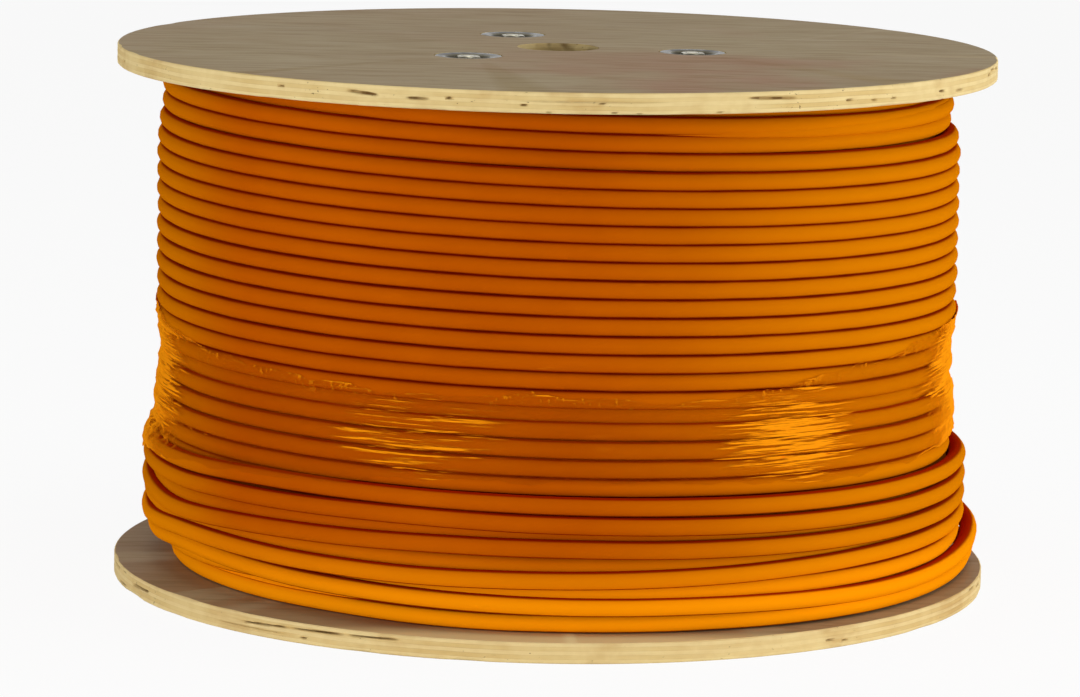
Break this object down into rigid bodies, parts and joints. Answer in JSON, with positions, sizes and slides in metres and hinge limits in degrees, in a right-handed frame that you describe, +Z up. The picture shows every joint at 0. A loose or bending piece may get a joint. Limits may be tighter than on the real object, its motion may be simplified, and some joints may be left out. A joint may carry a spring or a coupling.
{
  "type": "wooden cable drum",
  "caption": "Plywood cable drum standing on one flange, wound with rows of orange cable and bound with clear film; rods with sunk nuts and cup washers clamp the flanges.",
  "frame": {"origin": "centre of the lower flange's outer face, which the drum stands on", "axes": "+Z up along the drum's axis through the spindle bore; +X to the right and +Y away from the viewer of the picture"},
  "size_m": [0.3999, 0.4, 0.243],
  "materials": {
    "plywood": "plain sanded plywood, with its plies showing on the edge",
    "wound_paper": "brown wound paper tube",
    "cable_sheath": "smooth satin orange sheath",
    "clear_film": "clear wrinkled stretch film",
    "zinc_steel": "bright zinc plated"
  },
  "bodies": {
    "root": {"flange_top": "plywood", "flange_bottom": "plywood", "barrel_tube": "wound_paper", "cable_winding": "cable_sheath", "stretch_film": "clear_film", "tie_rod_1": "zinc_steel", "tie_rod_2": "zinc_steel", "tie_rod_3": "zinc_steel", "cup_washer_top_1": "zinc_steel", "cup_washer_top_2": "zinc_steel", "cup_washer_top_3": "zinc_steel", "cup_washer_bottom_1": "zinc_steel", "cup_washer_bottom_2": "zinc_steel", "cup_washer_bottom_3": "zinc_steel", "nut_top_1": "zinc_steel", "nut_top_2": "zinc_steel", "nut_top_3": "zinc_steel", "nut_bottom_1": "zinc_steel", "nut_bottom_2": "zinc_steel", "nut_bottom_3": "zinc_steel"}
  },
  "joints": []
}
